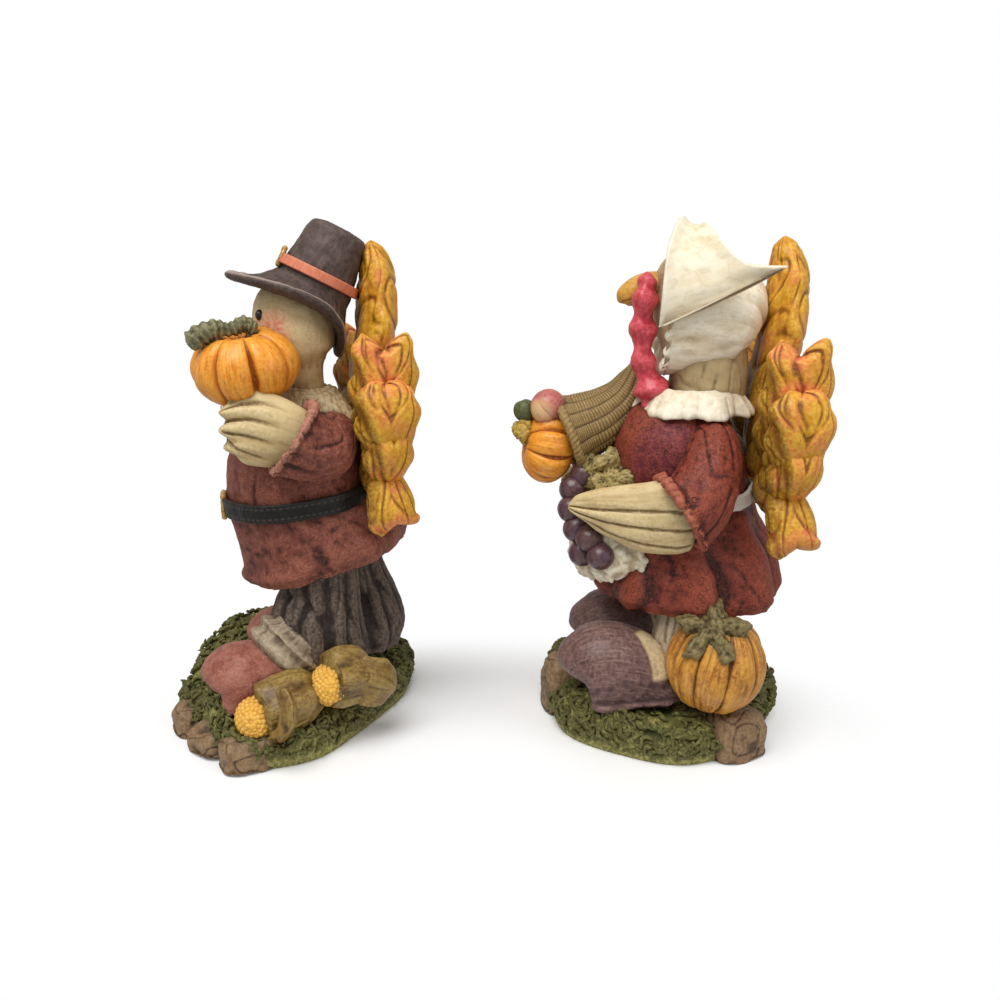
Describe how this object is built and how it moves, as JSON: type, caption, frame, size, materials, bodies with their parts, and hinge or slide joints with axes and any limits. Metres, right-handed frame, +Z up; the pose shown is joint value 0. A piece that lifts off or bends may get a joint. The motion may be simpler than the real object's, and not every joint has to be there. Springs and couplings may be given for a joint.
{
  "type": "thanksgiving turkey figure",
  "caption": "Standing cast resin turkey figures in harvest dress, with a tall hat and a pumpkin or a winged bonnet and a horn of plenty, each on a mossy rock base.",
  "frame": {"origin": "on the table, under the middle of the bounding box of both figures", "axes": "+X from the gentleman with the tall hat towards the lady in the bonnet, +Y away from the picture's viewer, +Z up; both figures face -X"},
  "size_m": [0.1918, 0.0882, 0.1517],
  "materials": {
    "moss": "matt green paint over cast resin, dark in the hollows",
    "stone": "matt brown paint over cast resin",
    "felt": "matt dark brown paint, dry brushed",
    "ribbon": "satin salmon paint",
    "gilt": "gold paint",
    "coat": "matt red brown paint, crackled",
    "belt": "satin near black paint",
    "breeches": "matt grey brown paint, dry brushed pale",
    "gaiter": "matt grey beige paint",
    "shoe": "matt dull red paint, stippled",
    "plumage": "matt beige paint with a pink blush",
    "wing": "matt beige paint with brown shading",
    "pumpkin": "satin orange paint with yellow strokes",
    "vine": "matt olive paint",
    "feather": "satin golden yellow paint with orange tints and dark cracks",
    "corn": "satin yellow paint",
    "husk": "satin olive brown paint",
    "beak": "matt ochre paint",
    "wattle": "satin rose red paint",
    "linen": "matt ivory paint with a beige wash",
    "dress": "matt terracotta paint, dark in the folds",
    "sash": "matt white paint",
    "stocking": "matt beige paint",
    "clog": "matt plum brown paint with brush lines",
    "face": "matt tan paint",
    "horn": "matt straw brown paint, dark between the stitches",
    "apple": "satin rose paint with a cream blush",
    "gourd": "matt dark green paint",
    "raisin": "matt yellow brown paint",
    "grape": "satin purple brown paint",
    "leaf": "matt olive brown paint"
  },
  "bodies": {
    "root": {"man_coat": "coat", "man_head": "plumage", "man_pumpkin": "pumpkin", "man_hat": "felt", "man_hat_band": "ribbon", "man_hat_buckle": "gilt", "man_beak": "beak", "man_wattle": "wattle", "man_pumpkin_vine": "vine", "man_sleeve_left": "coat", "man_sleeve_right": "coat", "man_wing_left": "wing", "man_wing_right": "wing", "man_collar": "linen", "man_belt": "belt", "man_belt_buckle": "gilt", "man_tail": "feather", "man_stone_front": "stone", "man_stone_middle": "stone", "man_stone_near": "stone", "man_base": "moss", "man_shoe_left": "shoe", "man_shoe_right": "shoe", "man_gaiter_left": "gaiter", "man_gaiter_right": "gaiter", "man_breeches": "breeches", "man_corn_front": "corn", "man_corn_near": "corn", "man_husk_front": "husk", "man_husk_near": "husk", "woman_dress": "dress", "woman_head": "face", "woman_cap": "linen", "woman_bonnet_brim": "linen", "woman_beak": "beak", "woman_collar": "linen", "woman_wattle": "wattle", "woman_horn": "horn", "woman_horn_pumpkin": "pumpkin", "woman_apple": "apple", "woman_gourd": "gourd", "woman_raisins": "raisin", "woman_sleeve_left": "dress", "woman_sleeve_right": "dress", "woman_wing_left": "wing", "woman_wing_right": "wing", "woman_grapes": "grape", "woman_grape_leaf": "leaf", "woman_lace_cloth": "linen", "woman_sash": "sash", "woman_tail": "feather", "woman_stone_front": "stone", "woman_stone_near": "stone", "woman_base": "moss", "woman_side_pumpkin": "pumpkin", "woman_side_leaf": "leaf", "woman_shoe_left": "clog", "woman_shoe_right": "clog", "woman_stocking_left": "stocking", "woman_stocking_right": "stocking"}
  },
  "joints": []
}
